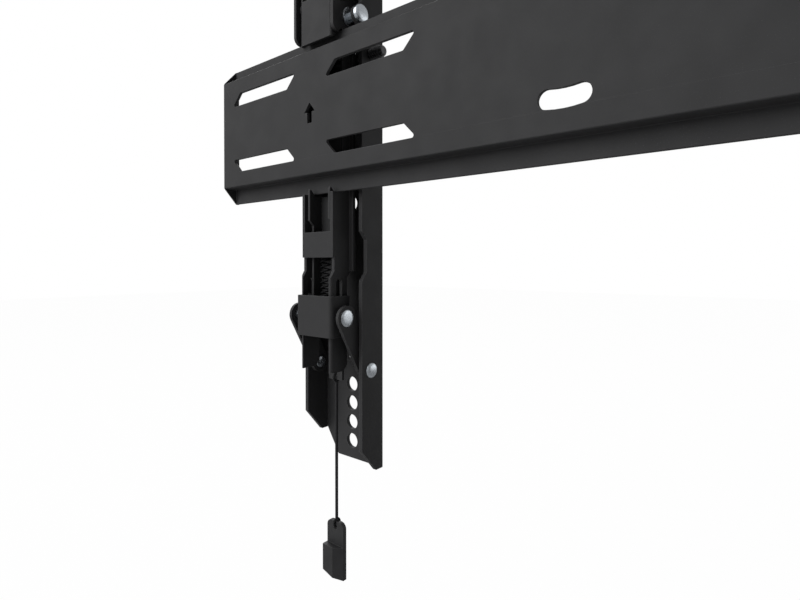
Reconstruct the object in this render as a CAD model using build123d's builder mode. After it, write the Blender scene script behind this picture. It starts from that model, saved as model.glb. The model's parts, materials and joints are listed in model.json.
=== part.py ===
"""Tilting wall bracket for a flat television, built at its real size in millimetres.

A slotted wall plate carries two arms. Each arm is a hanger that hooks over the plate's top
flange, and a channel that is screwed to the television. The channel hangs on two links below
and on a cross pin above, which runs in the slots of two guide plates, so the television tilts.
A spring-loaded latch grips the plate's bottom flange until its cord is pulled.

X runs along the plate, Y from the wall towards the television, Z up. The origin lies on the
wall, at the middle of the plate.
"""
from build123d import *
from math import cos, degrees, radians, sin
import os

# Wall plate
plate_length = 486.0
flat_height = 72.0
plate_sheet = 2.0
flange_depth = 9.1
flange_rise = 10.2
plate_bend = 2.0
end_flange_depth = 11.4
slot_height = 8.4
slot_length = 66.0
slot_spread = 44.0
slot_corner = 1.2
end_margin = 12.0
slot_gap = 25.2
level_slot_length = 22.5
level_hole = 8.4
arrow_height = 12.0
arrow_width = 9.4
arrow_shaft = 4.0
arrow_head = 5.6

# Arms
arm_spacing = 300.0
arm_sheet = 2.0
arm_bend = 2.5
fit_gap = 0.3
cut_over = 1.0

# Hanger
hanger_width = 26.4
hanger_front = 2.4
hanger_back = 19.0
hanger_top = 95.0
hanger_bottom = -150.5
hanger_bend = 1.6
tail_back = 15.0
tail_radius = 5.0
hat_flange = 3.0
hat_top = 43.0
hat_bottom = -92.0
hook_cover = 5.6
top_strap_top = 67.6
crown_strap_height = 12.0
latch_strap_front = 3.7
latch_strap_top = -69.3
latch_strap_height = 14.9
recess_front = 4.9
recess_bottom = -92.0
recess_slope = 4.0
guide_slot_top = -96.6
collar_strap_top = -108.0
collar_strap_height = 20.0
spring_ledge_reach = 13.0

# Pivots, each as its Y and Z
lower_pivot = (8.6, -119.0)
link_pivot = (25.0, -150.8)
top_pivot = (15.3, 54.8)
link_swing = 12.0
tilt_share = 0.429

# Collar and links
collar_sheet = 2.0
collar_top = -106.5
collar_height = 23.7
collar_depth = 14.6
link_sheet = 2.0
link_gap = 1.0
link_top_radius = 7.1
link_low_radius = 6.3

# Guide plates
guide_sheet = 2.0
guide_front = 2.2
guide_stand_off = 3.8
guide_back = 32.4
guide_bottom = 44.5
guide_top = 90.0
guide_corner = 6.0
guide_rivet_y = 8.5
guide_rivet_heights = (66.0, 82.0)
guide_rivet_shank = 4.0
guide_rivet_head = 7.0
guide_rivet_rise = 1.4

# Channel
channel_width = 50.0
channel_shift = -1.5
channel_sheet = 2.5
channel_front = 17.0
channel_back = 36.4
channel_half_height = 211.0
ear_radius = 5.0
ear_foot = 8.5
ear_sink = 0.5
notch_depth = 4.0
notch_top = -69.0
notch_height = 29.0
notch_slope = 5.0
foot_chamfer_rise = 14.0
foot_chamfer_depth = 12.0
short_foot = 15.5
web_chamfer_width = 12.7
web_hole = 9.2
web_hole_pitch = 12.0
web_hole_count = 4
web_hole_margin = 11.0
inner_hole_spread = 100.0
web_slot_margin = 54.5
web_slot_length = 21.0

# Pins, rivets and screws
running_gap = 0.05
pivot_shank = 4.7
pivot_head = 10.0
pivot_head_height = 0.8
spacer_outer = 8.0
rivet_shank = 5.0
rivet_head = 9.0
rivet_head_height = 1.6
rivet_inner_head = 7.5
rivet_inner_height = 1.2
link_washer_outer = 9.5
pin_shank = 6.0
pin_head = 10.4
pin_head_height = 3.0
pin_slot_play = 0.25
washer_outer = 12.0
washer_sheet = 1.2
bolt_shank = 6.0
bolt_place = (24.5, 34.5)
bolt_reach = 10.3
bolt_head = 10.0
bolt_head_height = 4.0
nut_height = 4.0

# Latch
latch_width = 19.0
latch_sheet = 1.5
latch_back = 16.0
latch_front = 5.0
latch_low_front = 8.0
latch_step = -62.0
latch_nose_top = -43.2
latch_shoulder = -47.4
latch_travel = 6.0
latch_foot = lower_pivot[1] + pivot_shank / 2 + latch_travel + fit_gap
latch_lug_height = 3.0
latch_nose_flat = 1.2
latch_nose_slope = 0.5
latch_step_rise = 3.0
latch_tail_x = 4.0
latch_tail_width = 11.0
latch_tail_bottom = -157.0
latch_seat_top = -82.0
latch_seat_reach = 7.0
cord_hole = 3.0
cord_hole_rise = 4.0

# Return spring
spring_wire = 0.9
spring_wire_sides = 8
spring_radius = 2.6
spring_turns = 7
spring_y = 10.2

# Cord and pull tab
cord_diameter = 1.8
tab_width = 13.8
tab_top = -242.2
tab_height = 33.5
tab_sheet = 2.4
tab_block_depth = 6.2
tab_block_drop = 14.0
tab_facet = 5.5
tab_foot_rise = 4.0
tab_top_radius = 3.6
tab_eye = 3.0
tab_eye_drop = 3.4

half_length = plate_length / 2
half_flat = flat_height / 2
tip_y = flange_depth
tip_z = half_flat + flange_rise
hook_bottom = half_flat + hook_cover
hanger_half = hanger_width / 2
collar_half = hanger_half + collar_sheet
channel_half = channel_width / 2
channel_inner = channel_half - channel_sheet
web_front = channel_back - channel_sheet
link_outer = channel_inner - link_gap
web_hole_last = channel_half_height - web_hole_margin
web_slot_far = channel_half_height - web_slot_margin
web_slot_near = web_slot_far - web_slot_length
latch_half = latch_width / 2
latch_web_front = latch_back - latch_sheet
cord_y = latch_back - latch_sheet / 2


def export(part, name):
    """Label a finished piece and write its file."""
    part.label = name
    export_step(part, f"parts/{name}.step")


def side_plane(x):
    """A plane square to the plate's length, whose own axes are the object's Y and Z."""
    return Plane(origin=(x, 0, 0), x_dir=(0, 1, 0), z_dir=(1, 0, 0))


def turned(offset, angle):
    """An offset in Y and Z, turned by degrees from +Z towards +Y."""
    a = radians(angle)
    return (offset[0] * cos(a) + offset[1] * sin(a), offset[1] * cos(a) - offset[0] * sin(a))


def pin_place(swing):
    """Where the top pin stands when the links have swung by an angle."""
    link = turned((link_pivot[0] - lower_pivot[0], link_pivot[1] - lower_pivot[1]), swing)
    mast = (top_pivot[0] - link_pivot[0], top_pivot[1] - link_pivot[1])
    mast = turned(mast, swing * tilt_share)
    return (lower_pivot[0] + link[0] + mast[0], lower_pivot[1] + link[1] + mast[1])


def pin_slot(x):
    """Outline of the slot that the top pin runs in, on the side plane at x."""
    radius = pin_shank / 2 + pin_slot_play
    with BuildLine(mode=Mode.PRIVATE) as path:
        ThreePointArc(pin_place(0), pin_place(link_swing / 2), pin_place(link_swing))
    with BuildSketch(side_plane(x), mode=Mode.PRIVATE) as slot:
        SlotArc(path.edge(), 2 * radius)
    return slot.sketch


def disc(x, place, radius):
    """A round outline on the side plane at x."""
    with BuildSketch(side_plane(x), mode=Mode.PRIVATE) as outline:
        with Locations(place):
            Circle(radius)
    return outline.sketch


def slanted_slot(x_start, z, lean):
    """Outline of a wall slot with slanted ends. It leans right where lean is positive."""
    half = slot_height / 2
    low = 0 if lean > 0 else slot_height
    high = slot_height - low
    run = slot_length - slot_height
    with BuildSketch(Plane.XZ, mode=Mode.PRIVATE) as slot:
        with BuildLine():
            Polyline(
                (x_start + low, z - half),
                (x_start + low + run, z - half),
                (x_start + high + run, z + half),
                (x_start + high, z + half),
                close=True,
            )
        make_face()
        fillet(slot.vertices(), slot_corner)
    return slot.sketch


def arrow_outline(x):
    """Outline of the arrow that shows which way up the plate goes."""
    top = arrow_height / 2
    neck = top - arrow_head
    with BuildSketch(Plane.XZ, mode=Mode.PRIVATE) as arrow:
        with BuildLine():
            Polyline(
                (x, top),
                (x + arrow_width / 2, neck),
                (x + arrow_shaft / 2, neck),
                (x + arrow_shaft / 2, -top),
                (x - arrow_shaft / 2, -top),
                (x - arrow_shaft / 2, neck),
                (x - arrow_width / 2, neck),
                close=True,
            )
        make_face()
    return arrow.sketch


def level_slot_outline():
    """Outline of the curved levelling slot, centred on the round hole above it."""
    reach = (level_slot_length - slot_height) / 2
    half_turn = degrees(reach / slot_spread)
    with BuildLine(mode=Mode.PRIVATE) as path:
        CenterArc((0, slot_spread / 2), slot_spread, 270 - half_turn, 2 * half_turn)
    with BuildSketch(Plane.XZ, mode=Mode.PRIVATE) as slot:
        SlotArc(path.edge(), slot_height)
        with Locations((0, slot_spread / 2)):
            Circle(level_hole / 2)
    return slot.sketch


def make_wall_plate():
    """The folded plate that is screwed to the wall."""
    run = (flange_depth**2 + flange_rise**2) ** 0.5
    inset_y = plate_sheet * flange_rise / run
    inset_z = -plate_sheet * flange_depth / run
    knee = plate_sheet * (run - flange_rise) / flange_depth
    with BuildPart() as plate:
        with BuildSketch(side_plane(-half_length)) as section:
            with BuildLine():
                Polyline(
                    (0, -half_flat),
                    (0, half_flat),
                    (tip_y, tip_z),
                    (tip_y + inset_y, tip_z + inset_z),
                    (plate_sheet, half_flat - knee),
                    (plate_sheet, -half_flat + knee),
                    (tip_y + inset_y, -tip_z - inset_z),
                    (tip_y, -tip_z),
                    close=True,
                )
            make_face()
            fillet(section.vertices().group_by(Axis.X)[0], plate_bend)
        extrude(amount=plate_length)
        for x in (-half_length, half_length - plate_sheet):
            with BuildSketch(side_plane(x)) as end:
                with BuildLine():
                    Polyline(
                        (0, -half_flat),
                        (0, half_flat),
                        (tip_y, tip_z),
                        (end_flange_depth, tip_z),
                        (end_flange_depth, -tip_z),
                        (tip_y, -tip_z),
                        close=True,
                    )
                make_face()
                fillet(end.vertices().group_by(Axis.X)[0], plate_bend)
            extrude(amount=plate_sheet)
        front_corners = plate.edges().filter_by(Axis.Z).group_by(Axis.Y)[0]
        fillet(front_corners, plate_sheet * 0.8)
        for side in (-1, 1):
            for lean in (1, -1):
                for start in (end_margin, end_margin + slot_length + slot_gap):
                    x = -half_length + start if side < 0 else half_length - start - slot_length
                    outline = slanted_slot(x, lean * slot_spread / 2, -side * lean)
                    extrude(outline, amount=-flange_depth, mode=Mode.SUBTRACT)
            x = side * (half_length - end_margin - slot_length - slot_gap / 2)
            extrude(arrow_outline(x), amount=-flange_depth, mode=Mode.SUBTRACT)
        extrude(level_slot_outline(), amount=-flange_depth, mode=Mode.SUBTRACT)
    return plate.part


def make_hanger(arm_x):
    """The narrow frame that hooks over the wall plate and carries the pivots."""
    seat = tip_z + fit_gap
    behind = end_flange_depth + fit_gap
    run = (flange_depth**2 + flange_rise**2) ** 0.5
    lead = fit_gap * run / flange_rise
    hook_back = hook_cover * flange_depth / flange_rise - lead
    with BuildPart() as hanger:
        with BuildSketch(side_plane(arm_x - hanger_half)) as wall:
            with BuildLine():
                Polyline(
                    (hanger_front, hook_bottom),
                    (hanger_front, hanger_top),
                    (hanger_back, hanger_top),
                    (hanger_back, hat_bottom),
                    (tail_back, hat_bottom - recess_slope),
                    (tail_back, hanger_bottom),
                    (hanger_front, hanger_bottom),
                    (hanger_front, recess_bottom - recess_slope),
                    (recess_front, recess_bottom),
                    (recess_front, latch_strap_top - latch_strap_height),
                    (latch_strap_front, latch_strap_top - latch_strap_height),
                    (latch_strap_front, -seat),
                    (behind, -seat),
                    (behind, seat),
                    (tip_y - lead, seat),
                    (hook_back, hook_bottom),
                    close=True,
                )
            make_face()
            tail = wall.vertices().group_by(Axis.Y)[0].sort_by(Axis.X)[-1]
            fillet(tail, tail_radius)
        extrude(amount=arm_sheet)
        with BuildSketch(side_plane(arm_x - hanger_half)):
            SlotArc(guide_slot_line(), pivot_shank + 2 * running_gap)
        extrude(amount=arm_sheet, mode=Mode.SUBTRACT)
        mirror(about=Plane.YZ.offset(arm_x))
        straps = (
            (hanger_front, hook_bottom, top_strap_top),
            (hanger_front, hanger_top - crown_strap_height, hanger_top),
            (latch_strap_front, latch_strap_top - latch_strap_height, latch_strap_top),
            (hanger_front, collar_strap_top - collar_strap_height, collar_strap_top),
        )
        for front, low, high in straps:
            with Locations((arm_x, front, low)):
                Box(
                    hanger_width,
                    arm_sheet,
                    high - low,
                    align=(Align.CENTER, Align.MIN, Align.MIN),
                )
        bends = hanger.edges().filter_by(Axis.Z).group_by(Axis.Y)[0]
        fillet(bends.filter_by(lambda e: abs(abs(e.center().X - arm_x) - hanger_half) < 0.01),
               hanger_bend)
        with Locations((arm_x, hanger_back - arm_sheet, hat_bottom)):
            Box(
                hanger_width + 2 * hat_flange,
                arm_sheet,
                hat_top - hat_bottom,
                align=(Align.CENTER, Align.MIN, Align.MIN),
            )
            Box(
                hanger_width - 2 * arm_sheet,
                arm_sheet,
                hat_top - hat_bottom,
                align=(Align.CENTER, Align.MIN, Align.MIN),
                mode=Mode.SUBTRACT,
            )
        with Locations((arm_x, hanger_front, collar_strap_top - arm_sheet)):
            Box(
                2 * spring_radius + 2 * arm_sheet,
                spring_ledge_reach - hanger_front,
                arm_sheet,
                align=(Align.CENTER, Align.MIN, Align.MIN),
            )
        extrude(pin_slot(arm_x - hanger_half), amount=hanger_width, mode=Mode.SUBTRACT)
        for height in guide_rivet_heights:
            outline = disc(arm_x - hanger_half, (guide_rivet_y, height), guide_rivet_shank / 2)
            extrude(outline, amount=hanger_width, mode=Mode.SUBTRACT)
    return hanger.part


def guide_slot_line():
    """Middle line of the hanger's guide slot, which ends round the lower pivot."""
    with BuildLine(mode=Mode.PRIVATE) as path:
        Line((lower_pivot[0], guide_slot_top - pivot_shank / 2), lower_pivot)
    return path.edge()


def guide_seat(side):
    """How far a guide plate's inner face stands from the arm's middle."""
    return hanger_half if side > 0 else hanger_half + guide_stand_off


def make_guide_plate(arm_x, side):
    """A plate on the hanger's side, whose slot carries the top pin."""
    inner = guide_seat(side) if side > 0 else -guide_seat(side) - guide_sheet
    with BuildPart() as guide:
        with BuildSketch(side_plane(arm_x + inner)) as outline:
            with BuildLine():
                Polyline(
                    (guide_front, guide_bottom),
                    (guide_front, guide_top),
                    (guide_back - guide_corner, guide_top),
                    (guide_back, guide_top - guide_corner),
                    (guide_back, guide_bottom),
                    close=True,
                )
            make_face()
            fillet(outline.vertices(), guide_corner * 0.7)
        extrude(amount=guide_sheet)
        extrude(pin_slot(arm_x + inner), amount=guide_sheet, mode=Mode.SUBTRACT)
        for height in guide_rivet_heights:
            hole = disc(arm_x + inner, (guide_rivet_y, height), guide_rivet_shank / 2)
            extrude(hole, amount=guide_sheet, mode=Mode.SUBTRACT)
        hook = tip_z + 2 * fit_gap
        drop = tip_z - guide_bottom + cut_over
        with BuildSketch(side_plane(arm_x + inner)):
            with BuildLine():
                Polyline(
                    (tip_y - drop * flange_depth / flange_rise - 2 * fit_gap, tip_z - drop),
                    (tip_y - 2 * fit_gap, hook),
                    (end_flange_depth + fit_gap, hook),
                    (end_flange_depth + fit_gap, tip_z - drop),
                    close=True,
                )
            make_face()
        extrude(amount=guide_sheet, mode=Mode.SUBTRACT)
    return guide.part


def make_guide_rivets(arm_x):
    """The four rivets of the guide plates. Those on the far side have a long shoulder."""
    with BuildPart() as rivets:
        for side in (-1, 1):
            outside = guide_seat(side) + guide_sheet
            for height in guide_rivet_heights:
                place = (guide_rivet_y, height)
                start = arm_x + side * (hanger_half - arm_sheet)
                shank = disc(start, place, guide_rivet_shank / 2)
                extrude(shank, amount=side * (outside - hanger_half + arm_sheet))
                head = disc(arm_x + side * outside, place, guide_rivet_head / 2)
                extrude(head, amount=side * guide_rivet_rise)
                if side < 0:
                    shoulder = disc(arm_x - hanger_half, place, guide_rivet_head / 2)
                    extrude(shoulder, amount=-guide_stand_off)
        for rims in (rivets.edges().group_by(Axis.X)[0], rivets.edges().group_by(Axis.X)[-1]):
            fillet(rims, guide_rivet_rise * 0.6)
    return rivets.part


def make_collar(arm_x):
    """The folded strap that wraps the hanger round the lower pivot."""
    low = collar_top - collar_height
    front = hanger_front - collar_sheet
    with BuildPart() as collar:
        with Locations((arm_x, front, low)):
            Box(
                2 * collar_half,
                collar_depth,
                collar_height,
                align=(Align.CENTER, Align.MIN, Align.MIN),
            )
        fillet(collar.edges().filter_by(Axis.Z).group_by(Axis.Y)[0], arm_bend)
        with Locations((arm_x, hanger_front, low)):
            Box(
                hanger_width,
                collar_depth,
                collar_height,
                align=(Align.CENTER, Align.MIN, Align.MIN),
                mode=Mode.SUBTRACT,
            )
        hole = disc(arm_x - collar_half, lower_pivot, pivot_shank / 2)
        extrude(hole, amount=2 * collar_half, mode=Mode.SUBTRACT)
    return collar.part


def make_lower_pin(channel_x):
    """The long rivet through the collar, the hanger and both links."""
    reach = link_outer + running_gap
    with BuildPart() as pin:
        extrude(disc(channel_x - reach, lower_pivot, pivot_shank / 2), amount=2 * reach)
        for side in (-1, 1):
            head = disc(channel_x + side * reach, lower_pivot, pivot_head / 2)
            extrude(head, amount=side * pivot_head_height)
        for rims in (pin.edges().group_by(Axis.X)[0], pin.edges().group_by(Axis.X)[-1]):
            fillet(rims, pivot_head_height * 0.7)
    return pin.part


def make_spacers(arm_x):
    """The two sleeves that keep the links clear of the collar."""
    inside = link_outer - link_sheet - running_gap
    with BuildPart() as spacers:
        for side in (-1, 1):
            length = inside + side * channel_shift - collar_half
            sleeve = disc(arm_x + side * collar_half, lower_pivot, spacer_outer / 2)
            extrude(sleeve, amount=side * length)
            bore = disc(arm_x + side * collar_half, lower_pivot, pivot_shank / 2)
            extrude(bore, amount=side * length, mode=Mode.SUBTRACT)
    return spacers.part


def make_link(channel_x, side):
    """A link between the hanger's lower pivot and the channel's rivet."""
    start = channel_x + side * link_outer
    with BuildPart() as link:
        with BuildSketch(side_plane(start)):
            with Locations(lower_pivot):
                Circle(link_top_radius)
            with Locations(link_pivot):
                Circle(link_low_radius)
            make_hull()
            with Locations(lower_pivot):
                Circle(pivot_shank / 2 + running_gap, mode=Mode.SUBTRACT)
            with Locations(link_pivot):
                Circle(rivet_shank / 2 + running_gap, mode=Mode.SUBTRACT)
        extrude(amount=-side * link_sheet)
    return link.part


def make_link_rivet(channel_x, side):
    """The rivet that joins a link to the channel's wall."""
    inner = link_outer - link_sheet - running_gap
    with BuildPart() as rivet:
        shank = disc(channel_x + side * inner, link_pivot, rivet_shank / 2)
        extrude(shank, amount=side * (channel_half - inner))
        inner_head = disc(channel_x + side * inner, link_pivot, rivet_inner_head / 2)
        extrude(inner_head, amount=-side * rivet_inner_height)
        head = disc(channel_x + side * channel_half, link_pivot, rivet_head / 2)
        extrude(head, amount=side * rivet_head_height)
        rims = rivet.edges().sort_by(Axis.X, reverse=side > 0).group_by(Axis.X)
        fillet(rims[-1 if side > 0 else 0], rivet_head_height * 0.7)
    return rivet.part


def make_link_washers(channel_x):
    """The washers that fill the gap between each link and the channel's wall."""
    inside = link_outer + running_gap
    with BuildPart() as washers:
        for side in (-1, 1):
            ring = disc(channel_x + side * inside, link_pivot, link_washer_outer / 2)
            extrude(ring, amount=side * (channel_inner - inside))
            bore = disc(channel_x + side * inside, link_pivot, rivet_shank / 2)
            extrude(bore, amount=side * (channel_inner - inside), mode=Mode.SUBTRACT)
    return washers.part


def web_cut(channel_x, z, radius):
    """A round hole through the channel's web."""
    with BuildSketch(Plane.XZ.offset(-web_front), mode=Mode.PRIVATE) as outline:
        with Locations((channel_x, z)):
            Circle(radius)
    return outline.sketch


def web_slot(channel_x, side):
    """A long slot of the channel's web, with a slanted far end."""
    half = web_hole / 2
    with BuildSketch(Plane.XZ.offset(-web_front), mode=Mode.PRIVATE) as slot:
        with BuildLine():
            Polyline(
                (channel_x - half, side * web_slot_near),
                (channel_x + half, side * (web_slot_near - web_hole)),
                (channel_x + half, side * web_slot_far),
                (channel_x - half, side * (web_slot_far - web_hole)),
                close=True,
            )
        make_face()
        fillet(slot.vertices(), slot_corner)
    return slot.sketch


def make_channel(channel_x):
    """The channel that is screwed to the back of the television."""
    bottom = -channel_half_height
    edge = channel_front
    sunk = edge + ear_sink
    with BuildPart() as channel:
        with Locations((channel_x, edge, bottom)):
            Box(
                channel_width,
                channel_back - edge,
                2 * channel_half_height,
                align=(Align.CENTER, Align.MIN, Align.MIN),
            )
        fillet(channel.edges().filter_by(Axis.Z).group_by(Axis.Y)[-1], arm_bend)
        with Locations((channel_x, edge, bottom)):
            Box(
                2 * channel_inner,
                web_front - edge,
                2 * channel_half_height,
                align=(Align.CENTER, Align.MIN, Align.MIN),
                mode=Mode.SUBTRACT,
            )
        for side in (-1, 1):
            outer = channel_x + side * channel_half
            with BuildSketch(side_plane(outer)):
                with Locations(top_pivot):
                    Circle(ear_radius)
                with BuildLine():
                    Line((sunk, top_pivot[1] - ear_foot), (sunk, top_pivot[1] + ear_foot))
                make_hull()
            extrude(amount=-side * channel_sheet)
            with BuildSketch(side_plane(outer)):
                with BuildLine():
                    Polyline(
                        (edge - cut_over, notch_top),
                        (edge, notch_top),
                        (edge + notch_depth, notch_top - notch_slope),
                        (edge + notch_depth, notch_top - notch_height + notch_slope),
                        (edge, notch_top - notch_height),
                        (edge - cut_over, notch_top - notch_height),
                        close=True,
                    )
                make_face()
                for end in (-1, 1):
                    lift = short_foot if end < 0 and side < 0 else 0
                    tip = end * (channel_half_height - lift)
                    with BuildLine():
                        Polyline(
                            (edge - cut_over, tip - end * foot_chamfer_rise),
                            (edge, tip - end * foot_chamfer_rise),
                            (edge + foot_chamfer_depth, tip),
                            (edge + foot_chamfer_depth, end * (channel_half_height + cut_over)),
                            (edge - cut_over, end * (channel_half_height + cut_over)),
                            close=True,
                        )
                    make_face()
            extrude(amount=-side * 2 * channel_sheet, mode=Mode.SUBTRACT)
        with BuildSketch(Plane.XZ.offset(-edge)):
            with BuildLine():
                Polyline(
                    (channel_x - channel_half - cut_over, bottom + short_foot),
                    (channel_x - channel_half + channel_sheet, bottom + short_foot),
                    (channel_x - channel_half + web_chamfer_width, bottom),
                    (channel_x - channel_half + web_chamfer_width, bottom - cut_over),
                    (channel_x - channel_half - cut_over, bottom - cut_over),
                    close=True,
                )
            make_face()
        extrude(amount=-(channel_back - edge + cut_over), mode=Mode.SUBTRACT)
        for side in (-1, 1):
            for i in range(web_hole_count):
                z = side * (web_hole_last - i * web_hole_pitch)
                extrude(web_cut(channel_x, z, web_hole / 2), amount=-2 * channel_sheet,
                        mode=Mode.SUBTRACT)
            extrude(web_slot(channel_x, side), amount=-2 * channel_sheet, mode=Mode.SUBTRACT)
            hole = web_cut(channel_x, side * inner_hole_spread / 2, web_hole / 2)
            extrude(hole, amount=-2 * channel_sheet, mode=Mode.SUBTRACT)
        outer = channel_x - channel_half
        extrude(disc(outer, top_pivot, pin_shank / 2), amount=channel_width, mode=Mode.SUBTRACT)
        extrude(disc(outer, link_pivot, rivet_shank / 2), amount=channel_width, mode=Mode.SUBTRACT)
        extrude(disc(outer, bolt_place, bolt_shank / 2), amount=channel_width, mode=Mode.SUBTRACT)
    return channel.part


def make_top_pin(channel_x):
    """The bright cross pin that carries the channel's top."""
    with BuildPart() as pin:
        extrude(disc(channel_x - channel_half, top_pivot, pin_shank / 2), amount=channel_width)
        for side in (-1, 1):
            head = disc(channel_x + side * channel_half, top_pivot, pin_head / 2)
            extrude(head, amount=side * pin_head_height)
        for rims in (pin.edges().group_by(Axis.X)[0], pin.edges().group_by(Axis.X)[-1]):
            fillet(rims, pin_head_height * 0.4)
    return pin.part


def make_pin_washers(arm_x):
    """The washers on the top pin, beside the guide plates."""
    with BuildPart() as washers:
        for side in (-1, 1):
            inside = guide_seat(side) + guide_sheet + running_gap * 2
            ring = disc(arm_x + side * inside, top_pivot, washer_outer / 2)
            extrude(ring, amount=side * washer_sheet)
            bore = disc(arm_x + side * inside, top_pivot, pin_shank / 2)
            extrude(bore, amount=side * washer_sheet, mode=Mode.SUBTRACT)
    return washers.part


def make_cross_bolt(channel_x):
    """The threaded bolt that clamps the channel's walls, with its hexagon head."""
    with BuildPart() as bolt:
        length = channel_width + bolt_reach
        extrude(disc(channel_x - channel_half, bolt_place, bolt_shank / 2), amount=length)
        chamfer(bolt.edges().group_by(Axis.X)[-1], bolt_shank * 0.12)
        with BuildSketch(side_plane(channel_x - channel_half)):
            with Locations(bolt_place):
                RegularPolygon(bolt_head / 2, 6, major_radius=False)
        extrude(amount=-bolt_head_height)
    return bolt.part


def make_bolt_nut(channel_x):
    """The hexagon nut on the cross bolt, inside the channel's wall."""
    with BuildPart() as nut:
        with BuildSketch(side_plane(channel_x + channel_inner)):
            with Locations(bolt_place):
                RegularPolygon(bolt_head / 2, 6, major_radius=False)
                Circle(bolt_shank / 2, mode=Mode.SUBTRACT)
        extrude(amount=-nut_height)
    return nut.part


def make_latch(arm_x):
    """The sliding latch: two hooked walls, a back, guide lugs and a tail with a cord hole."""
    nose_back = (tip_z + latch_nose_top) * flange_depth / flange_rise
    with BuildPart() as latch:
        with BuildSketch(side_plane(arm_x - latch_half)):
            with BuildLine():
                Polyline(
                    (latch_front, latch_shoulder),
                    (latch_front, latch_nose_top - latch_nose_flat),
                    (latch_front + latch_nose_slope, latch_nose_top),
                    (tip_y - nose_back - 2 * fit_gap, latch_nose_top),
                    (tip_y - 2 * fit_gap, -tip_z - fit_gap),
                    (tip_y, latch_shoulder),
                    (latch_back, latch_shoulder),
                    (latch_back, latch_foot),
                    (latch_low_front, latch_foot),
                    (latch_low_front, latch_step - latch_step_rise),
                    (latch_front, latch_step),
                    close=True,
                )
            make_face()
        extrude(amount=latch_sheet)
        mirror(about=Plane.YZ.offset(arm_x))
        with Locations((arm_x, latch_web_front, latch_foot)):
            Box(
                latch_width,
                latch_sheet,
                latch_shoulder - latch_foot,
                align=(Align.CENTER, Align.MIN, Align.MIN),
            )
        with Locations((arm_x + latch_tail_x, latch_web_front, latch_tail_bottom)):
            Box(
                latch_tail_width,
                latch_sheet,
                latch_foot - latch_tail_bottom,
                align=(Align.CENTER, Align.MIN, Align.MIN),
            )
        with Locations((arm_x, latch_back - latch_seat_reach - latch_sheet, latch_seat_top)):
            Box(
                2 * spring_radius + 2 * latch_sheet,
                latch_seat_reach + latch_sheet,
                latch_sheet,
                align=(Align.CENTER, Align.MIN, Align.MAX),
            )
        lug_depth = pivot_shank - 4 * running_gap
        with Locations((arm_x, lower_pivot[0], latch_foot)):
            Box(
                2 * (hanger_half - running_gap),
                lug_depth,
                latch_lug_height,
                align=(Align.CENTER, Align.CENTER, Align.MIN),
            )
            Box(
                latch_width - 2 * latch_sheet,
                lug_depth,
                latch_lug_height,
                align=(Align.CENTER, Align.CENTER, Align.MIN),
                mode=Mode.SUBTRACT,
            )
        with BuildSketch(Plane.XZ.offset(-latch_web_front)):
            with Locations((arm_x + latch_tail_x, latch_tail_bottom + cord_hole_rise)):
                Circle(cord_hole / 2)
        extrude(amount=-latch_sheet, mode=Mode.SUBTRACT)
    return latch.part


def make_spring(arm_x):
    """The coil spring between the hanger's ledge and the latch's seat."""
    low = collar_strap_top + spring_wire / 2
    high = latch_seat_top - latch_sheet - spring_wire / 2
    pitch = (high - low) / spring_turns
    with BuildPart() as spring:
        with BuildLine() as path:
            Helix(pitch, high - low, spring_radius, center=(arm_x, spring_y, low))
        with BuildSketch(Plane(origin=path.line @ 0, z_dir=path.line % 0)):
            RegularPolygon(spring_wire / 2, spring_wire_sides)
        sweep(is_frenet=True)
    return spring.part


def make_cord(arm_x):
    """The pull cord, from the latch's tail down to the tab."""
    length = latch_tail_bottom - tab_top
    with BuildPart() as cord:
        with BuildSketch(Plane.XY.offset(tab_top)):
            with Locations((arm_x + latch_tail_x, cord_y)):
                Circle(cord_diameter / 2)
        extrude(amount=length)
    return cord.part


def make_tab(arm_x):
    """The moulded pull tab on the cord's lower end."""
    x = arm_x + latch_tail_x
    back = cord_y + tab_sheet / 2
    foot = tab_top - tab_height
    with BuildPart() as tab:
        with BuildSketch(Plane.XZ.offset(-back)) as outline:
            with BuildLine():
                Polyline(
                    (x - tab_width / 2, foot + tab_foot_rise),
                    (x - tab_width / 2, tab_top),
                    (x + tab_width / 2, tab_top),
                    (x + tab_width / 2, foot),
                    close=True,
                )
            make_face()
            fillet(outline.vertices().sort_by(Axis.Y)[-2:], tab_top_radius)
        extrude(amount=tab_sheet)
        with BuildSketch(Plane.XY.offset(foot - cut_over)):
            with BuildLine():
                Polyline(
                    (x - tab_width / 2, back - tab_sheet / 2),
                    (x - tab_width / 2, back - tab_block_depth),
                    (x + tab_width / 2 - tab_facet, back - tab_block_depth),
                    (x + tab_width / 2, back - tab_sheet),
                    (x + tab_width / 2, back - tab_sheet / 2),
                    close=True,
                )
            make_face()
        extrude(amount=tab_height - tab_block_drop + cut_over)
        with BuildSketch(Plane.XZ.offset(-back)):
            with BuildLine():
                Polyline(
                    (x - tab_width, foot + tab_foot_rise * 1.5),
                    (x + tab_width, foot - tab_foot_rise * 0.5),
                    (x + tab_width, foot - tab_height),
                    (x - tab_width, foot - tab_height),
                    close=True,
                )
            make_face()
        extrude(amount=tab_block_depth + cut_over, mode=Mode.SUBTRACT)
        with BuildSketch(Plane.XZ.offset(-back)):
            with Locations((x, tab_top - tab_eye_drop)):
                Circle(tab_eye / 2)
        extrude(amount=tab_block_depth, mode=Mode.SUBTRACT)
    return tab.part


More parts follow.
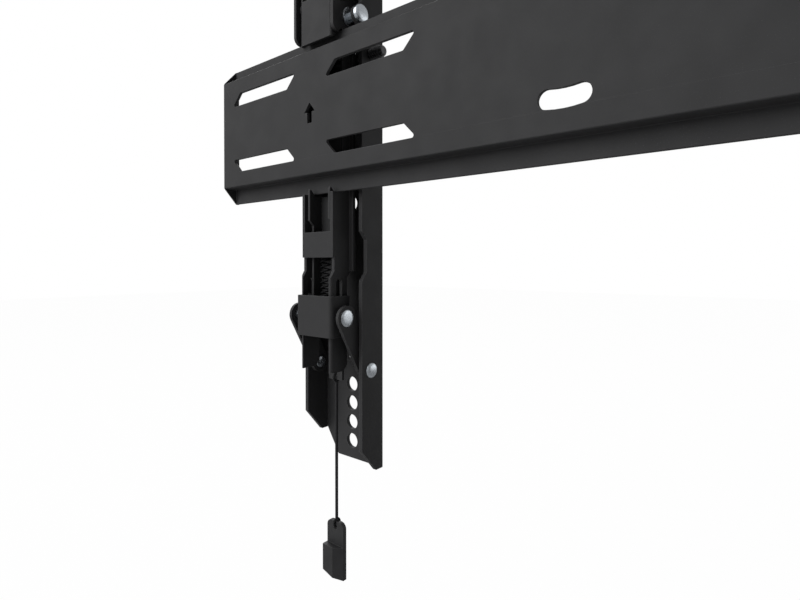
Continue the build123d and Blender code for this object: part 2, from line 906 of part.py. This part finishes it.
def build():
    """Make every piece and write it."""
    os.makedirs("parts", exist_ok=True)
    export(make_wall_plate(), "wall_plate")
    for name, arm_x in (("left", -arm_spacing / 2), ("right", arm_spacing / 2)):
        channel_x = arm_x + channel_shift
        export(make_hanger(arm_x), f"{name}_hanger")
        export(make_guide_rivets(arm_x), f"{name}_guide_rivets")
        export(make_collar(arm_x), f"{name}_collar")
        export(make_lower_pin(channel_x), f"{name}_lower_pin")
        export(make_spacers(arm_x), f"{name}_spacers")
        export(make_link_washers(channel_x), f"{name}_link_washers")
        export(make_channel(channel_x), f"{name}_tv_channel")
        export(make_top_pin(channel_x), f"{name}_top_pin")
        export(make_pin_washers(arm_x), f"{name}_pin_washers")
        export(make_cross_bolt(channel_x), f"{name}_cross_bolt")
        export(make_bolt_nut(channel_x), f"{name}_bolt_nut")
        export(make_latch(arm_x), f"{name}_latch")
        export(make_spring(arm_x), f"{name}_return_spring")
        export(make_cord(arm_x), f"{name}_pull_cord")
        export(make_tab(arm_x), f"{name}_pull_tab")
        towards = 1 if arm_x < 0 else -1
        for hand, side in (("inner", towards), ("outer", -towards)):
            export(make_guide_plate(arm_x, side), f"{name}_{hand}_guide_plate")
            export(make_link(channel_x, side), f"{name}_{hand}_link")
            export(make_link_rivet(channel_x, side), f"{name}_{hand}_link_rivet")


build()
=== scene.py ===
"""Dresses the tilting television bracket: finishes, rails, turned heads, threads, springs and cords."""
import json
from math import cos, pi, radians, sin

import bmesh
import bpy
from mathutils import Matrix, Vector


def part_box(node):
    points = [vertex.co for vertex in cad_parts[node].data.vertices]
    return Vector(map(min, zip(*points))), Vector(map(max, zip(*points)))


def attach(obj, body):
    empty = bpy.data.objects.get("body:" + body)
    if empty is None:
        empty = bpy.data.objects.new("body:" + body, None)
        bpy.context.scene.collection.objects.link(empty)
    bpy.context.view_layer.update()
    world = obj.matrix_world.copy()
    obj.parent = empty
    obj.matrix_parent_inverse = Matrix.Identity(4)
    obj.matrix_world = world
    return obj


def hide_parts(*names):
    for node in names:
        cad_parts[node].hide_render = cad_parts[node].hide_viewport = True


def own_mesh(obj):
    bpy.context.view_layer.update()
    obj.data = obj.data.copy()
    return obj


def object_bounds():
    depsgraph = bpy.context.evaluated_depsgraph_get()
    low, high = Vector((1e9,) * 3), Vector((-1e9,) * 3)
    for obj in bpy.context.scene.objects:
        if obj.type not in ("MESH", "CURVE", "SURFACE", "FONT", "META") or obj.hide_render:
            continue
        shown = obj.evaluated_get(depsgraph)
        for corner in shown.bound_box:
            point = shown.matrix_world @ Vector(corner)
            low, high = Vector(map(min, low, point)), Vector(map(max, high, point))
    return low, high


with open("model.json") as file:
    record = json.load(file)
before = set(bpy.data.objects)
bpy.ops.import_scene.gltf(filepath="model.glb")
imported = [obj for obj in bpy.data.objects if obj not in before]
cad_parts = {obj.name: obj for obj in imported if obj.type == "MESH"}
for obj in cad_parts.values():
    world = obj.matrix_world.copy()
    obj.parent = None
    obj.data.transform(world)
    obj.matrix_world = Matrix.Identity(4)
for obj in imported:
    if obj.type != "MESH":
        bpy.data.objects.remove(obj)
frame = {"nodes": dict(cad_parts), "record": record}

cad_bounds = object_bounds()
sides = ("left", "right")

# Lengths are in metres and angles in degrees where nothing else is said
millimetre = 0.001

# Camera, at the photograph's place, with the lens and the shift of its axis in pixels
camera_place = (0.0816, -0.2002, -0.0877)
camera_turn = 39.6
camera_pitch = 0.6
lens_pixels = 520.0
axis_rise_pixels = 31.1
image_width = 800
sensor_width_mm = 36.0
nearest_seen = 0.01

# Pull cord, and how far the latch's hole and the tab's eye are from its ends
cord_diameter = 0.0018
cord_points = 4
cord_roundness = 5
eye_drop = 0.0034
tail_hole_rise = 0.0040

# End loops of the cord: how far they reach before and behind the sheet, how far their two strands
# are aside, and how far they start inside the cord
loop_radius = 0.00072
loop_sides = 12
loop_steps = 40
loop_reach = 0.0021
loop_slant = 0.0003
loop_overlap = 0.0012

# Cross bolt's thread: the turns left out at its end, and its ridge as corners (shift in pitches,
# height over the radius in depths)
thread_pitch = 0.00150
thread_depth = 0.00075
thread_radius = 0.0035
thread_segments = 28
thread_run_out = 1.6
thread_ridge = ((-0.36, -1), (-0.07, 0.3), (0.07, 0.3), (0.36, -1))

# Return spring: open turns, closed turns at each end, and the share of the wire that is drawn, so
# that the closed turns stay apart
spring_turns = 7
spring_closing = 1.2
spring_wire = 0.0009
wire_share = 0.98
wire_sides = 10
spring_steps = 20

# Wall plate's stepped edges: half the height of the face that stays, half the length between the
# ends, how far the rails run into the ends, and how deep the old edges are cleared
kept_half = 0.033
between_ends = 0.24105
end_overlap = 0.00035
clear_depth = 0.03
weld_distance = 1e-6
large_face_weight = 100

# Section of one stepped edge, as corners (depth, height, bend radius) in millimetres
stepped_edge = (
    (0.002, 32.4, 0),
    (0.002, 36, 0.6),
    (9.1, 36, 0.6),
    (9.1, 46.15, 0.4),
    (11.1, 46.15, 0.4),
    (11.1, 34, 2.6),
    (1.998, 34, 0.4),
    (1.998, 32.4, 0),
)
bend_steps = 8

# Turned pins and rivets in millimetres: the shanks' radii, and the heads as corners (depth from the
# end, radius), from the middle outwards
pivot_shank = 2.35
pin_shank = 3.0
rivet_shank = 2.5
pivot_head = (
    (0, 0), (0.01, 1.4), (0.05, 2.5), (0.14, 3.4), (0.28, 4.1), (0.46, 4.6), (0.62, 4.9), (0.8, 5.0),
)
pin_head = ((0, 0), (0.06, 2.0), (0.22, 3.2), (0.50, 4.2), (0.85, 4.8), (1.30, 5.15), (3.0, 5.2))
rivet_head = (
    (0, 0), (0.03, 1.0), (0.12, 1.9), (0.32, 2.8), (0.60, 3.5), (0.95, 4.1), (1.30, 4.4), (1.6, 4.5),
)
rivet_foot = ((0.10, 0), (0.02, 1.6), (0.12, 2.7), (0.50, 3.55), (1.2, 3.75))
turning_steps = 56

# Radius in metres of the tiny ring that stands for a head's middle
pole_radius = 1e-5

# Angle from which an edge between two faces is shaded sharp
sheet_edge_angle = 32
turned_edge_angle = 40

# Edge mask for edges lightened partly as wear and partly as painted highlight: cosine between the rounded
# and the flat normal where an edge is fully lightened, and where the lightening stops
edge_samples = 6
edge_full_lightening = 0.86
edge_no_lightening = 0.985

# Colour sockets of a Mix node, which share their names with the sockets for numbers
mix_first = 6
mix_second = 7
mix_result = 2

# Floor: its drop under the model, half its width, and the share of it that the camera sees as white
floor_drop = 0.16
floor_half = 6.0
floor_share = 0.985

# Light: the room's colour, levels of the room and of what is mirrored, and lamps as (name, place,
# width, watts)
white = (1, 1, 1, 1)
room_colour = (0.97, 0.98, 1.0, 1)
room_level = 0.07
mirror_level = 0.6
lamp_target = (-0.05, 0.0, -0.05)
lamps = (
    ("key", (-0.9, -1.9, 1.1), 2.2, 66.0),
    ("rim", (1.0, 1.7, -0.35), 2.4, 21.0),
    ("back", (-1.5, 0.9, 1.7), 1.2, 45.0),
)


def add_object(name, data):
    """A new object of the scene that shows a mesh, a curve, a lamp or a camera."""
    piece = bpy.data.objects.new(name, data)
    bpy.context.scene.collection.objects.link(piece)
    return piece


# Materials


class Finish:
    """A material with one Principled shader and short ways to feed it."""

    def __init__(self, name, base, roughness, metallic=0.0):
        self.material = bpy.data.materials.new(name)
        self.material.use_nodes = True
        self.tree = self.material.node_tree
        self.shader = self.tree.nodes["Principled BSDF"]
        self.shader.inputs["Base Color"].default_value = (*base, 1)
        self.shader.inputs["Roughness"].default_value = roughness
        self.shader.inputs["Metallic"].default_value = metallic
        self.base = base
        self.place = self.node("ShaderNodeTexCoord").outputs["Object"]
        self.normal = None

    def node(self, kind, **values):
        """A new node with its named inputs set, with underscores for the spaces in their names."""
        node = self.tree.nodes.new(kind)
        for key, value in values.items():
            node.inputs[key.replace("_", " ")].default_value = value
        return node

    def link(self, source, target):
        """Join an output to an input."""
        self.tree.links.new(source, target)

    def noise(self, scale, detail, stretch=(1, 1, 1)):
        """Noise of a scale in lumps for each metre."""
        noise = self.node("ShaderNodeTexNoise", Scale=scale, Detail=detail)
        mapping = self.node("ShaderNodeMapping", Scale=stretch)
        self.link(self.place, mapping.inputs["Vector"])
        self.link(mapping.outputs["Vector"], noise.inputs["Vector"])
        return noise.outputs["Fac"]

    def ramp(self, source, low, high, start=0.35, stop=0.65):
        """Turn a value between start and stop into one that runs from low to high."""
        ranged = self.node("ShaderNodeMapRange", From_Min=start, From_Max=stop, To_Min=low, To_Max=high)
        self.link(source, ranged.inputs["Value"])
        return ranged.outputs["Result"]

    def blend(self, factor, first, second):
        """Mix two colours, each a colour or an output."""
        mix = self.tree.nodes.new("ShaderNodeMix")
        mix.data_type = "RGBA"
        self.link(factor, mix.inputs["Factor"])
        for socket, value in ((mix.inputs[mix_first], first), (mix.inputs[mix_second], second)):
            if isinstance(value, tuple):
                socket.default_value = (*value, 1)
            else:
                self.link(value, socket)
        return mix.outputs[mix_result]

    def shade(self, factor):
        """The base colour, made darker or lighter."""
        return tuple(c * factor for c in self.base)

    def round_edges(self, radius):
        """Round the sharp edges in the shading, and return a mask that is 1 on them."""
        bevel = self.node("ShaderNodeBevel", Radius=radius)
        bevel.samples = edge_samples
        flat = self.node("ShaderNodeNewGeometry").outputs["Normal"]
        dot = self.node("ShaderNodeVectorMath")
        dot.operation = "DOT_PRODUCT"
        self.link(bevel.outputs["Normal"], dot.inputs[0])
        self.link(flat, dot.inputs[1])
        self.normal = bevel.outputs["Normal"]
        return self.ramp(dot.outputs["Value"], 1.0, 0.0, edge_full_lightening, edge_no_lightening)

    def bump(self, height, strength, distance):
        """Add fine relief on top of what is there."""
        bump = self.node("ShaderNodeBump", Strength=strength, Distance=distance)
        self.link(height, bump.inputs["Height"])
        if self.normal is not None:
            self.link(self.normal, bump.inputs["Normal"])
        self.normal = bump.outputs["Normal"]
        self.link(self.normal, self.shader.inputs["Normal"])

    def shine(self, level):
        """Set how strongly a surface that isn't metal mirrors."""
        self.shader.inputs["Specular IOR Level"].default_value = level

    def colour(self, source):
        """Feed the base colour."""
        self.link(source, self.shader.inputs["Base Color"])

    def gloss(self, source):
        """Feed the roughness."""
        self.link(source, self.shader.inputs["Roughness"])


def powder_coat():
    """Matte black powder coat: fine orange peel, and edges three times lighter, partly as a thinner worn
    film and partly as painted highlight.
    """
    finish = Finish("powder_coat", (0.034, 0.034, 0.035), 0.62)
    finish.shine(0.12)
    edge_wear_and_highlight = finish.round_edges(0.00045)
    cloudy = finish.ramp(finish.noise(30, 3), 0, 1)
    tone = finish.blend(cloudy, finish.shade(0.95), finish.shade(1.04))
    specks = finish.ramp(finish.noise(2600, 1), 0, 1, 0.68, 0.74)
    tone = finish.blend(specks, tone, finish.shade(1.5))
    # Edges three times lighter: partly worn film, partly a painted highlight on the bends and cut edges.
    finish.colour(finish.blend(edge_wear_and_highlight, tone, finish.shade(3.0)))
    finish.gloss(finish.ramp(finish.noise(70, 3), 0.58, 0.66))
    finish.bump(finish.noise(900, 2), 0.22, 0.00008)
    finish.bump(finish.noise(3600, 2), 0.25, 0.00003)
    return finish.material


def zinc():
    """Bright zinc plate with fine turning marks, a few dull spots and a bluish cast."""
    finish = Finish("zinc", (0.44, 0.47, 0.50), 0.30, 1.0)
    edge_wear_and_highlight = finish.round_edges(0.00025)
    dull = finish.ramp(finish.noise(1400, 4), 0, 1, 0.42, 0.66)
    tone = finish.blend(dull, finish.base, finish.shade(0.84))
    # Edges 1.2 times lighter: partly wear, partly a painted highlight on the rims.
    finish.colour(finish.blend(edge_wear_and_highlight, tone, finish.shade(1.2)))
    finish.gloss(finish.ramp(finish.noise(900, 4), 0.24, 0.36))
    finish.bump(finish.noise(2600, 3, stretch=(1, 2.5, 2.5)), 0.15, 0.00003)
    return finish.material


def black_oxide():
    """Black bolts: thin oxide, with the crests and edges four times lighter, partly as rubbed oxide and
    partly as painted highlight.
    """
    finish = Finish("black_oxide", (0.050, 0.050, 0.052), 0.34, 0.8)
    edge_wear_and_highlight = finish.round_edges(0.0002)
    # Crests and edges four times lighter: partly rubbed oxide, partly a painted highlight.
    finish.colour(finish.blend(edge_wear_and_highlight, finish.base, finish.shade(4.0)))
    finish.gloss(finish.ramp(finish.noise(900, 3), 0.26, 0.44))
    finish.bump(finish.noise(2600, 2), 0.2, 0.00003)
    return finish.material


def spring_steel():
    """Blackened drawn wire with slight streaks."""
    finish = Finish("spring_steel", (0.007, 0.007, 0.008), 0.62)
    finish.shine(0.06)
    streaks = finish.ramp(finish.noise(2400, 3, stretch=(1, 1, 3)), 0, 1)
    finish.colour(finish.blend(streaks, finish.shade(0.75), finish.shade(1.2)))
    finish.bump(finish.noise(4000, 2), 0.2, 0.00002)
    return finish.material


def braided_cord():
    """Braided black cord: two families of slanting strands."""
    finish = Finish("braided_cord", (0.013, 0.013, 0.014), 0.85)
    finish.shine(0.20)
    finish.shader.inputs["Sheen Weight"].default_value = 0.05
    strands = []
    for lean in (1, -1):
        wave = finish.node("ShaderNodeTexWave", Scale=420.0, Distortion=0.6)
        wave.bands_direction = "Z"
        turn = finish.node("ShaderNodeMapping")
        turn.inputs["Rotation"].default_value = (radians(lean * 38), radians(lean * 24), 0)
        finish.link(finish.place, turn.inputs["Vector"])
        finish.link(turn.outputs["Vector"], wave.inputs["Vector"])
        strands.append(wave.outputs["Fac"])
    weave = finish.node("ShaderNodeMath")
    weave.operation = "MAXIMUM"
    finish.link(strands[0], weave.inputs[0])
    finish.link(strands[1], weave.inputs[1])
    finish.colour(finish.blend(weave.outputs["Value"], finish.shade(0.45), finish.shade(1.5)))
    finish.bump(weave.outputs["Value"], 0.6, 0.0001)
    return finish.material


def moulded_plastic():
    """Black moulded plastic with a fine spark-eroded grain."""
    finish = Finish("moulded_plastic", (0.024, 0.024, 0.025), 0.52)
    finish.shine(0.18)
    edge_wear_and_highlight = finish.round_edges(0.0004)
    cloudy = finish.ramp(finish.noise(90, 3), 0, 1)
    tone = finish.blend(cloudy, finish.shade(0.9), finish.shade(1.1))
    # Edges 1.5 times lighter: partly rubbed, partly a painted highlight.
    finish.colour(finish.blend(edge_wear_and_highlight, tone, finish.shade(1.5)))
    finish.gloss(finish.ramp(finish.noise(300, 2), 0.42, 0.54))
    finish.bump(finish.noise(2200, 3), 0.3, 0.00004)
    return finish.material


# Meshes


def swept_faces(rings, around):
    """Faces of a closed skin over rings of points, with a cap at each end."""
    faces = []
    for i in range(rings - 1):
        for k in range(around):
            a, b = i * around + k, i * around + (k + 1) % around
            faces.append((a, b, b + around, a + around))
    last = (rings - 1) * around
    faces.append(tuple(reversed(range(around))))
    faces.append(tuple(range(last, last + around)))
    return faces


def add_mesh(name, points, faces, material, body):
    """A smooth mesh piece that rides on a body."""
    mesh = bpy.data.meshes.new(name)
    mesh.from_pydata(points, [], faces)
    mesh.update()
    piece = add_object(name, mesh)
    mesh.materials.append(material)
    mesh.polygons.foreach_set("use_smooth", [True] * len(mesh.polygons))
    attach(piece, body)
    return piece


def tube_along(path, radius, around):
    """Points and faces of a closed tube along a list of points, with flat ends."""
    path = [Vector(p) for p in path]
    points = []
    across = Vector((1, 0, 0))
    for i, place in enumerate(path):
        ahead = (path[min(i + 1, len(path) - 1)] - path[max(i - 1, 0)]).normalized()
        across = (across - ahead * across.dot(ahead)).normalized()
        other = ahead.cross(across)
        for k in range(around):
            a = 2 * pi * k / around
            points.append(place + (across * cos(a) + other * sin(a)) * radius)
    return points, swept_faces(len(path), around)


def add_spring(side, material):
    """The return spring, with closed end turns."""
    node = f"{side}_return_spring"
    low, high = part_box(node)
    middle = (low + high) / 2
    radius = (high.x - low.x) / 2 - spring_wire / 2
    bottom = low.z + spring_wire / 2
    rise = high.z - low.z - spring_wire
    turns = spring_turns + 2 * spring_closing
    closed = spring_closing * spring_wire
    path = []
    for i in range(round(turns * spring_steps) + 1):
        t = i / spring_steps
        if t < spring_closing:
            z = t * spring_wire
        elif t > turns - spring_closing:
            z = rise - (turns - t) * spring_wire
        else:
            z = closed + (t - spring_closing) / spring_turns * (rise - 2 * closed)
        path.append((middle.x + radius * cos(2 * pi * t), middle.y + radius * sin(2 * pi * t), bottom + z))
    points, faces = tube_along(path, spring_wire / 2 * wire_share, wire_sides)
    piece = add_mesh(f"{side}_wound_spring", points, faces, material, f"{side}_arm")
    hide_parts(node)
    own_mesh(piece)


def add_thread(side, material):
    """The rolled thread on the cross bolt's free end, a ridge wound on the shank that fades at its ends."""
    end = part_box(f"{side}_cross_bolt")[1].x
    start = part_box(f"{side}_tv_channel")[1].x
    low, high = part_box(f"{side}_bolt_nut")
    middle = (low + high) / 2
    turns = (end - start) / thread_pitch - thread_run_out
    points = []
    steps = round(turns * thread_segments)
    for i in range(steps + 1):
        t = i / thread_segments
        fade = min(1.0, 2 * t, 2 * (turns - t))
        for along, out in thread_ridge:
            r = thread_radius + thread_depth * (fade * (out + 1) - 1)
            x = start + (t + along + 0.5) * thread_pitch
            points.append((x, middle.y + r * cos(2 * pi * t), middle.z + r * sin(2 * pi * t)))
    faces = swept_faces(steps + 1, len(thread_ridge))
    add_mesh(f"{side}_bolt_thread", points, faces, material, f"{side}_channel")


def add_turned(name, node, heads, shank, material, body):
    """A pin or rivet along the plate, with its two head profiles, in place of its node."""
    near, far = heads
    low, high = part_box(node)
    middle = (low + high) / 2
    profile = [(low.x + depth * millimetre, radius * millimetre) for depth, radius in near]
    profile.append((profile[-1][0], shank * millimetre))
    profile.append((high.x - far[-1][0] * millimetre, shank * millimetre))
    profile += [(high.x - depth * millimetre, radius * millimetre) for depth, radius in reversed(far)]
    points = []
    for x, radius in profile:
        r = max(radius, pole_radius)
        for k in range(turning_steps):
            a = 2 * pi * k / turning_steps
            points.append((x, middle.y + r * cos(a), middle.z + r * sin(a)))
    piece = add_mesh(name, points, swept_faces(len(profile), turning_steps), material, body)
    piece.data.set_sharp_from_angle(angle=radians(turned_edge_angle))
    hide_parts(node)


def add_turned_parts(side, material):
    """The lower pin, the top pin and the link rivets, with formed heads."""
    arm, channel = f"{side}_arm", f"{side}_channel"
    heads = (pivot_head, pivot_head)
    add_turned(f"{side}_riveted_pin", f"{side}_lower_pin", heads, pivot_shank, material, arm)
    heads = (pin_head, pin_head)
    add_turned(f"{side}_headed_pin", f"{side}_top_pin", heads, pin_shank, material, channel)
    for hand in ("inner", "outer"):
        name, node = f"{side}_{hand}_formed_rivet", f"{side}_{hand}_link_rivet"
        foot_first = (hand == "inner") == (side == "left")
        heads = (rivet_foot, rivet_head) if foot_first else (rivet_head, rivet_foot)
        add_turned(name, node, heads, rivet_shank, material, channel)


def add_loop(side, name, place, hole_z, material):
    """The end loop of a cord, from inside the cord's end to the hole that it is threaded through."""
    inside_z = place.z + (loop_overlap if place.z > hole_z else -loop_overlap)
    middle_z = (inside_z + hole_z) / 2
    height = abs(inside_z - hole_z) / 2
    loop = []
    for i in range(loop_steps + 1):
        a = 2 * pi * i / loop_steps
        x, y = place.x + loop_slant * sin(a), place.y + loop_reach * sin(a)
        loop.append((x, y, middle_z + height * cos(a)))
    points, faces = tube_along(loop, loop_radius, loop_sides)
    return add_mesh(f"{side}_{name}_loop", points, faces, material, f"{side}_latch")


def add_cord(side, material):
    """The pull cord, straight down from the latch's tail to the tab."""
    node = f"{side}_pull_cord"
    low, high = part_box(node)
    middle = (low + high) / 2
    start, end = Vector((middle.x, middle.y, high.z)), Vector((middle.x, middle.y, low.z))
    curve = bpy.data.curves.new(f"{side}_braided_cord", "CURVE")
    curve.dimensions = "3D"
    curve.bevel_depth = cord_diameter / 2
    curve.bevel_resolution = cord_roundness
    curve.use_fill_caps = True
    spline = curve.splines.new("NURBS")
    spline.points.add(cord_points - 1)
    for i, point in enumerate(spline.points):
        z = start.z + (end.z - start.z) * i / (cord_points - 1)
        point.co = (middle.x, middle.y, z, 1)
    spline.order_u = 3
    spline.use_endpoint_u = True
    curve.materials.append(material)
    cord = add_object(f"{side}_braided_cord", curve)
    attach(cord, f"{side}_latch")
    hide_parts(node)
    loops = [
        add_loop(side, "tail", start, start.z + tail_hole_rise, material),
        add_loop(side, "tab", end, end.z - eye_drop, material),
    ]


# Wall plate


def bent_outline(corners):
    """Points of an outline in metres, with each corner (depth, height, radius) in millimetres rounded."""
    points = []
    for i, (y, z, radius) in enumerate(corners):
        here = Vector((y, z))
        before = (Vector(corners[i - 1][:2]) - here).normalized()
        after = (Vector(corners[(i + 1) % len(corners)][:2]) - here).normalized()
        if radius == 0:
            points.append(here * millimetre)
            continue
        middle = here + (before + after) * radius
        for k in range(bend_steps + 1):
            a = pi / 2 * k / bend_steps
            points.append((middle - after * radius * cos(a) - before * radius * sin(a)) * millimetre)
    return points


def add_prism(name, outline, half, up):
    """A prism along the plate, from -half to half, with its heights turned over where up is -1."""
    count = len(outline)
    shape = bmesh.new()
    for x in (-half, half):
        for y, z in outline:
            shape.verts.new((x, y, up * z))
    shape.verts.ensure_lookup_table()
    for k in range(count):
        around = (k, (k + 1) % count, (k + 1) % count + count, k + count)
        shape.faces.new([shape.verts[i] for i in around])
    for first in (0, count):
        shape.faces.new([shape.verts[first + i] for i in range(count)])
    bmesh.ops.recalc_face_normals(shape, faces=shape.faces)
    mesh = bpy.data.meshes.new(name)
    shape.to_mesh(mesh)
    shape.free()
    return add_object(name, mesh)


def add_stepped_plate(material):
    """The wall plate with its edges stepped back from the face, as rails that carry the arms."""
    mesh = frame["nodes"]["wall_plate"].data.copy()
    shape = bmesh.new()
    shape.from_mesh(mesh)
    bmesh.ops.remove_doubles(shape, verts=shape.verts, dist=weld_distance)
    shape.to_mesh(mesh)
    shape.free()
    plate = add_object("stepped_wall_plate", mesh)
    edge = bent_outline(stepped_edge)
    space = [
        (-clear_depth, kept_half),
        (-clear_depth, 2 * kept_half),
        (clear_depth, 2 * kept_half),
        (clear_depth, kept_half),
    ]
    tools = []
    for up in (1, -1):
        tools.append(("DIFFERENCE", add_prism("cleared_edge", space, between_ends, up)))
        tools.append(("UNION", add_prism("rail", edge, between_ends + end_overlap, up)))
    for operation, tool in tools:
        cut = plate.modifiers.new(tool.name, "BOOLEAN")
        cut.operation = operation
        cut.solver = "EXACT"
        cut.object = tool
    bpy.context.view_layer.update()
    finished = bpy.data.meshes.new_from_object(plate.evaluated_get(bpy.context.evaluated_depsgraph_get()))
    plate.modifiers.clear()
    plate.data = finished
    for _, tool in tools:
        bpy.data.objects.remove(tool)
    finished.materials.clear()
    finished.materials.append(material)
    finished.polygons.foreach_set("use_smooth", [True] * len(finished.polygons))
    finished.set_sharp_from_angle(angle=radians(sheet_edge_angle))
    even = plate.modifiers.new("even_normals", "WEIGHTED_NORMAL")
    even.weight = large_face_weight
    even.keep_sharp = True
    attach(plate, "plate")
    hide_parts("wall_plate")


# Carried-over nodes


def dress_nodes(finishes):
    """Give every CAD node its finish and smooth round faces."""
    slots = {part["node"]: part["material_slot"] for part in frame["record"]["subparts"]}
    for name, node in frame["nodes"].items():
        node.data.materials.clear()
        node.data.materials.append(finishes[slots[name]])
        node.data.polygons.foreach_set("use_smooth", [True] * len(node.data.polygons))
        node.data.set_sharp_from_angle(angle=radians(sheet_edge_angle))


# Stage, light and camera


def add_floor():
    """A plain pale floor that shows white to the camera and keeps a soft shadow."""
    z = cad_bounds[0][2] - floor_drop
    mesh = bpy.data.meshes.new("floor")
    corners = [(x * floor_half, y * floor_half, z) for x, y in ((-1, -1), (1, -1), (1, 1), (-1, 1))]
    mesh.from_pydata(corners, [], [(0, 1, 2, 3)])
    floor = add_object("floor", mesh)
    finish = Finish("pale_floor", (0.45, 0.45, 0.45), 0.9)
    finish.gloss(finish.ramp(finish.noise(2, 2), 0.86, 0.92))
    glow = finish.node("ShaderNodeEmission", Color=white, Strength=1.0)
    ray = finish.node("ShaderNodeLightPath")
    share = finish.node("ShaderNodeMath")
    share.operation = "MULTIPLY"
    share.inputs[1].default_value = floor_share
    finish.link(ray.outputs["Is Camera Ray"], share.inputs[0])
    mix = finish.node("ShaderNodeMixShader")
    finish.link(share.outputs["Value"], mix.inputs[0])
    finish.link(finish.shader.outputs["BSDF"], mix.inputs[1])
    finish.link(glow.outputs["Emission"], mix.inputs[2])
    output = finish.tree.nodes["Material Output"]
    finish.link(mix.outputs["Shader"], output.inputs["Surface"])
    mesh.materials.append(finish.material)


def add_lamp(name, place, width, watts):
    """A square soft lamp that faces the bracket."""
    lamp = bpy.data.lights.new(name, "AREA")
    lamp.size = width
    lamp.energy = watts
    holder = add_object(name, lamp)
    holder.location = place
    holder.rotation_euler = (Vector(lamp_target) - Vector(place)).to_track_quat("-Z", "Y").to_euler()


def add_light():
    """Soft studio light: a dim room that looks pale to the camera and in reflections, and three lamps."""
    world = bpy.data.worlds.new("studio")
    bpy.context.scene.world = world
    world.use_nodes = True
    nodes, links = world.node_tree.nodes, world.node_tree.links
    room = nodes["Background"]
    room.inputs["Color"].default_value = room_colour
    room.inputs["Strength"].default_value = room_level
    pale = nodes.new("ShaderNodeBackground")
    pale.inputs["Color"].default_value = white
    pale.inputs["Strength"].default_value = mirror_level
    backdrop = nodes.new("ShaderNodeBackground")
    backdrop.inputs["Color"].default_value = white
    ray = nodes.new("ShaderNodeLightPath")
    mirrored = nodes.new("ShaderNodeMixShader")
    seen = nodes.new("ShaderNodeMixShader")
    links.new(ray.outputs["Is Glossy Ray"], mirrored.inputs[0])
    links.new(room.outputs["Background"], mirrored.inputs[1])
    links.new(pale.outputs["Background"], mirrored.inputs[2])
    links.new(ray.outputs["Is Camera Ray"], seen.inputs[0])
    links.new(mirrored.outputs["Shader"], seen.inputs[1])
    links.new(backdrop.outputs["Background"], seen.inputs[2])
    links.new(seen.outputs["Shader"], nodes["World Output"].inputs["Surface"])
    for lamp in lamps:
        add_lamp(*lamp)


def add_camera():
    """The camera of the photograph."""
    lens = bpy.data.cameras.new("camera")
    lens.sensor_width = sensor_width_mm
    lens.lens = lens_pixels / image_width * sensor_width_mm
    lens.shift_y = -axis_rise_pixels / image_width
    lens.clip_start = nearest_seen
    camera = add_object("camera", lens)
    camera.location = camera_place
    camera.rotation_euler = (radians(90 - camera_pitch), 0, radians(camera_turn))
    bpy.context.scene.camera = camera


def build():
    """Dress the model and set the scene."""
    finishes = {
        "powder_coat": powder_coat(),
        "zinc": zinc(),
        "black_bolt": black_oxide(),
        "spring_steel": spring_steel(),
        "cord": braided_cord(),
        "black_plastic": moulded_plastic(),
    }
    add_camera()
    dress_nodes(finishes)
    add_stepped_plate(finishes["powder_coat"])
    for side in sides:
        add_cord(side, finishes["cord"])
        add_spring(side, finishes["spring_steel"])
        add_thread(side, finishes["black_bolt"])
        add_turned_parts(side, finishes["zinc"])
    add_floor()
    add_light()
    bpy.context.scene.view_settings.view_transform = "Standard"


build()
